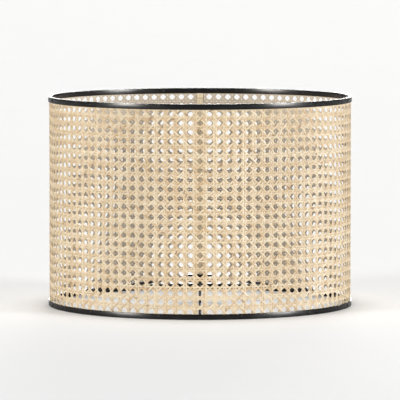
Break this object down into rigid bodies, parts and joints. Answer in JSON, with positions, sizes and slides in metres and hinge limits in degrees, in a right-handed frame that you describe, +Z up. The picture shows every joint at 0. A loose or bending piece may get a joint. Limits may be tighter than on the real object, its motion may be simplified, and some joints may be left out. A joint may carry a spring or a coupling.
{
  "type": "lamp shade",
  "caption": "Drum lamp shade of open cane webbing between thin black metal hoops, with a wire spider and a ring for the lampholder.",
  "frame": {"origin": "centre of the bottom rim, in the plane that the shade stands on", "axes": "+Z up along the drum's axis, -Y to the front, +Y through the seam of the webbing"},
  "size_m": [0.4499, 0.45, 0.31],
  "materials": {
    "black_steel": "satin",
    "cane": "natural",
    "binding_cane": "natural",
    "waxed_thread": "waxed"
  },
  "bodies": {
    "root": {"top_outer_hoop": "black_steel", "top_inner_hoop": "black_steel", "bottom_outer_hoop": "black_steel", "bottom_inner_hoop": "black_steel", "top_rivets": "black_steel", "bottom_rivets": "black_steel", "cane_webbing": "cane", "seam_outer_strip": "binding_cane", "seam_inner_strip": "binding_cane", "seam_stitches": "waxed_thread", "fitter_ring": "black_steel", "spider_arm_front": "black_steel", "spider_arm_right": "black_steel", "spider_arm_left": "black_steel"}
  },
  "joints": []
}
